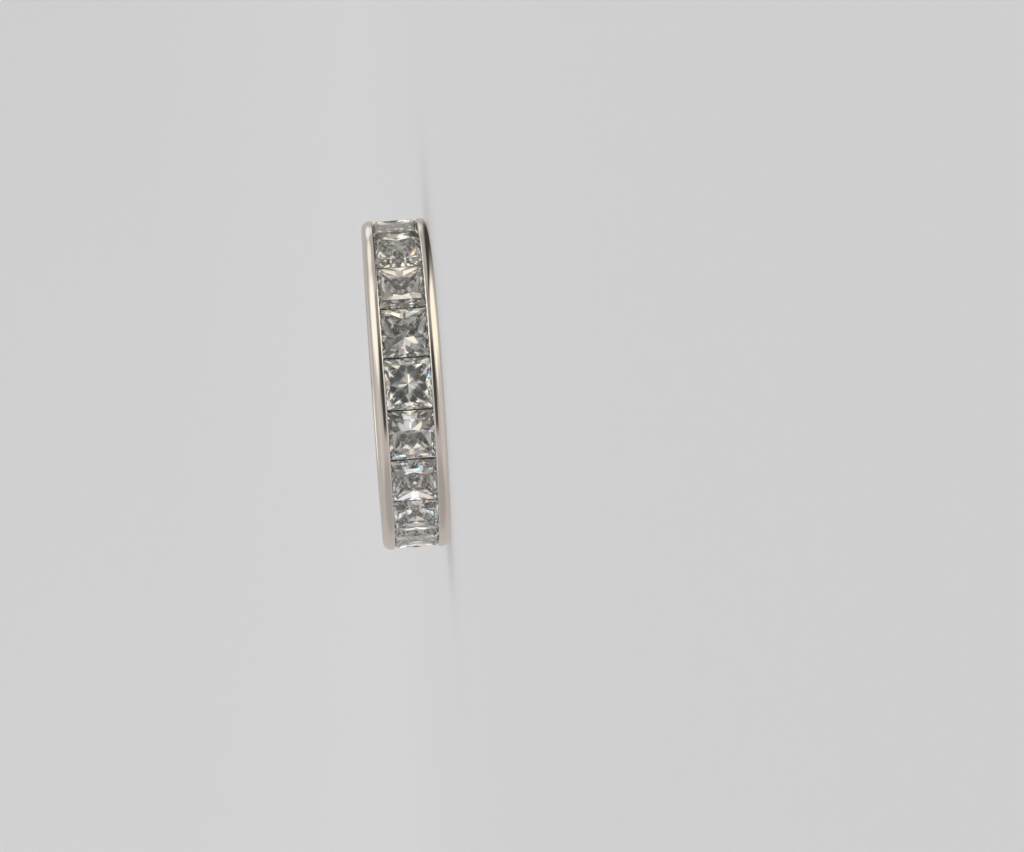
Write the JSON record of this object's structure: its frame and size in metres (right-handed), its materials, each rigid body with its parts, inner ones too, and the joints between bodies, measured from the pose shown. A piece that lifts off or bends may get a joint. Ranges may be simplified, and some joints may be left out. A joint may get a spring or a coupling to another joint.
{
  "type": "diamond eternity wedding band",
  "caption": "Full eternity wedding band: a ring of square princess-cut diamonds channel-set between two polished domed rails, with a plain azured hoop inside.",
  "frame": {"origin": "centre of the ring's lower side face, which rests on the surface", "axes": "+Z along the finger's axis, from the lower side face to the upper one; -Y is the front, at the middle of the first stone"},
  "size_m": [0.0218, 0.0218, 0.0044],
  "materials": {
    "white_gold": "high polish, slightly warm, with fine wear lines",
    "diamond": "polished facets, near colourless"
  },
  "bodies": {
    "root": {"band": "white_gold", "stone_01": "diamond", "stone_02": "diamond", "stone_03": "diamond", "stone_04": "diamond", "stone_05": "diamond", "stone_06": "diamond", "stone_07": "diamond", "stone_08": "diamond", "stone_09": "diamond", "stone_10": "diamond", "stone_11": "diamond", "stone_12": "diamond", "stone_13": "diamond", "stone_14": "diamond", "stone_15": "diamond", "stone_16": "diamond", "stone_17": "diamond", "stone_18": "diamond", "stone_19": "diamond", "stone_20": "diamond"}
  },
  "joints": []
}
